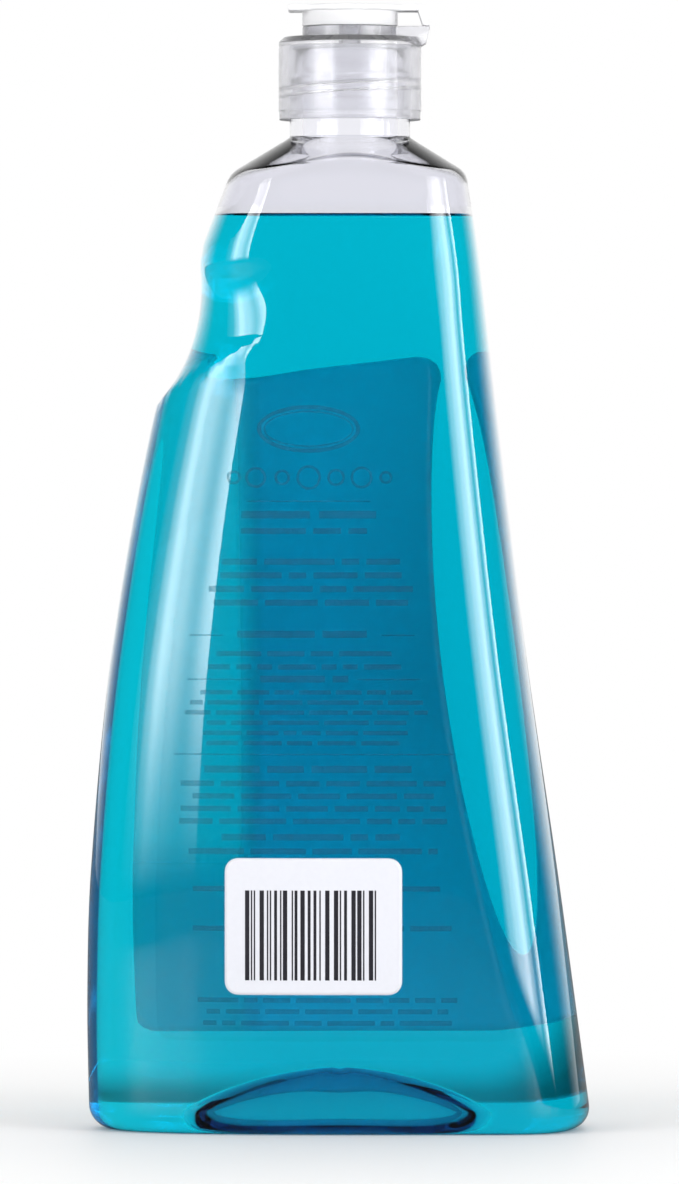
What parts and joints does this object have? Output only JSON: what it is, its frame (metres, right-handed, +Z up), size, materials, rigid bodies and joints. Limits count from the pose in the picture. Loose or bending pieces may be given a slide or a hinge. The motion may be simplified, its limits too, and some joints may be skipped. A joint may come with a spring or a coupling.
{
  "type": "dish soap bottle",
  "caption": "Clear oval squeeze bottle of blue liquid soap with a finger scoop, film labels, a paper sticker and a screw-on flip-top closure.",
  "frame": {"origin": "middle of the bottle's foot, on the surface it stands on", "axes": "+Z up, +X towards the closure's hinge, which is to the right as seen from behind, -Y towards the back label and sticker"},
  "size_m": [0.1152, 0.0519, 0.2574],
  "materials": {
    "bottle": "clear blown plastic, glossy",
    "liquid": "clear cyan-blue liquid soap",
    "front_label": "printed film, opaque, glossy",
    "back_label": "clear film with dark blue print",
    "sticker": "white coated paper with black bars",
    "seal": "soft white foam disc",
    "closure": "clear moulded plastic",
    "lid": "translucent frosted plastic"
  },
  "bodies": {
    "bottle_body": {"bottle": "bottle", "liquid": "liquid", "front_label": "front_label", "back_label": "back_label", "code_sticker": "sticker"},
    "rising_seal": {"sealing_ring": "seal"},
    "closure_body": {"closure": "closure"},
    "lid_body": {"flip_lid": "lid"}
  },
  "joints": [
    {"name": "closure_rise", "type": "slide", "parent": "bottle_body", "child": "rising_seal", "axis": [0, 0, 1], "range_m": [0, 0.0085]},
    {"name": "closure_turn", "type": "hinge", "parent": "rising_seal", "child": "closure_body", "pos_m": [0.0024, 0, 0.24], "axis": [0, 0, 1], "range_deg": [0, 720]},
    {"name": "lid_hinge", "type": "hinge", "parent": "closure_body", "child": "lid_body", "pos_m": [0.0207, 0, 0.2525], "axis": [0, 1, 0], "range_deg": [0, 150]}
  ],
  "couplings": [
    {"joint": "closure_rise", "follows": "closure_turn", "m_per_rad": 0.00067323}
  ]
}
